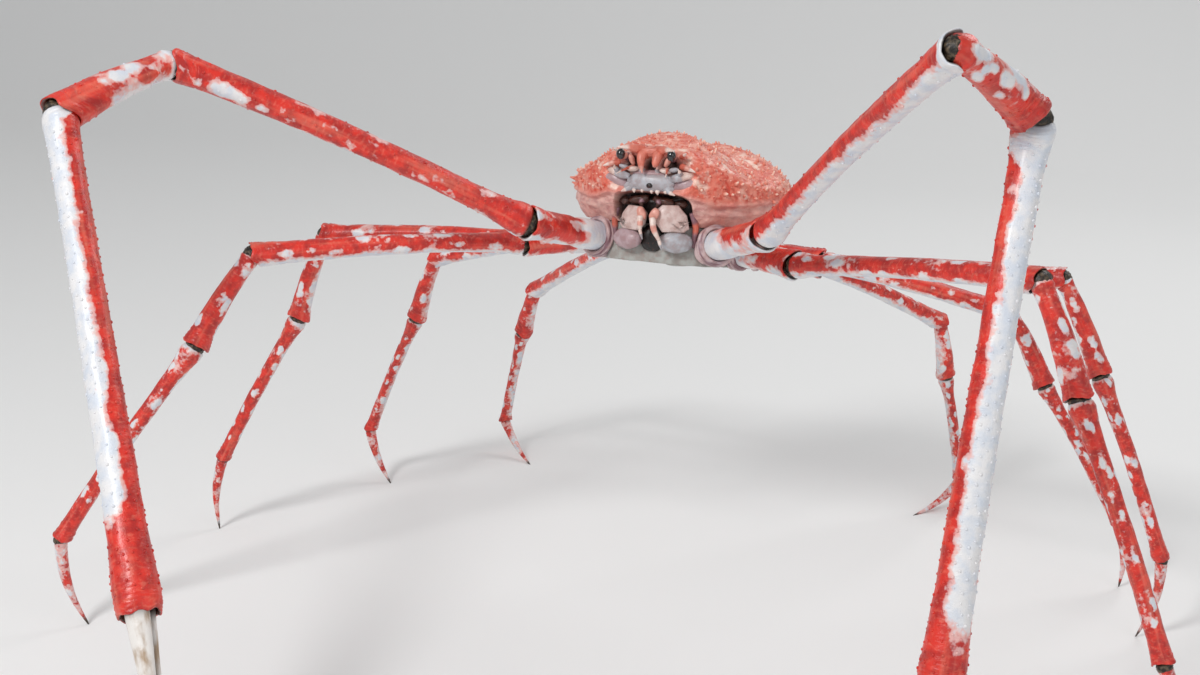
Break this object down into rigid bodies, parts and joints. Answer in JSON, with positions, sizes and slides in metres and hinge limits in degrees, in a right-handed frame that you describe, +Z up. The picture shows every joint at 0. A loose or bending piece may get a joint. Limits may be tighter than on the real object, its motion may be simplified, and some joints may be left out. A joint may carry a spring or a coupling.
{
  "type": "japanese spider crab",
  "caption": "Still life-size model of a large male Japanese spider crab standing on its walking legs, its long claws bent at the elbow and hanging in front.",
  "frame": {"origin": "on the floor, at the middle of the model's plan box", "axes": "+Z up; -Y is the way the crab faces; +X is the crab's left side"},
  "size_m": [1.4269, 1.3347, 0.8352],
  "materials": {
    "shell": "satin, rough with cream tubercles",
    "leg_red": "satin shell, red above and cream below",
    "underside": "satin cream shell",
    "horn_white": "worn horn",
    "eye": "wet black"
  },
  "bodies": {
    "root": {"carapace": "shell", "sternum": "underside", "abdomen": "underside", "eye_left": "eye", "antenna_left": "leg_red", "mouth_plate_left": "underside", "eye_right": "eye", "antenna_right": "leg_red", "mouth_plate_right": "underside", "claw_left_base": "leg_red", "claw_left_merus": "leg_red", "claw_left_carpus": "leg_red", "claw_left_propodus": "leg_red", "claw_left_dactyl": "horn_white", "leg2_left_base": "leg_red", "leg2_left_merus": "leg_red", "leg2_left_carpus": "leg_red", "leg2_left_propodus": "leg_red", "leg2_left_dactyl": "leg_red", "leg3_left_base": "leg_red", "leg3_left_merus": "leg_red", "leg3_left_carpus": "leg_red", "leg3_left_propodus": "leg_red", "leg3_left_dactyl": "leg_red", "leg4_left_base": "leg_red", "leg4_left_merus": "leg_red", "leg4_left_carpus": "leg_red", "leg4_left_propodus": "leg_red", "leg4_left_dactyl": "leg_red", "leg5_left_base": "leg_red", "leg5_left_merus": "leg_red", "leg5_left_carpus": "leg_red", "leg5_left_propodus": "leg_red", "leg5_left_dactyl": "leg_red", "claw_right_base": "leg_red", "claw_right_merus": "leg_red", "claw_right_carpus": "leg_red", "claw_right_propodus": "leg_red", "claw_right_dactyl": "horn_white", "leg2_right_base": "leg_red", "leg2_right_merus": "leg_red", "leg2_right_carpus": "leg_red", "leg2_right_propodus": "leg_red", "leg2_right_dactyl": "leg_red", "leg3_right_base": "leg_red", "leg3_right_merus": "leg_red", "leg3_right_carpus": "leg_red", "leg3_right_propodus": "leg_red", "leg3_right_dactyl": "leg_red", "leg4_right_base": "leg_red", "leg4_right_merus": "leg_red", "leg4_right_carpus": "leg_red", "leg4_right_propodus": "leg_red", "leg4_right_dactyl": "leg_red", "leg5_right_base": "leg_red", "leg5_right_merus": "leg_red", "leg5_right_carpus": "leg_red", "leg5_right_propodus": "leg_red", "leg5_right_dactyl": "leg_red"}
  },
  "joints": []
}
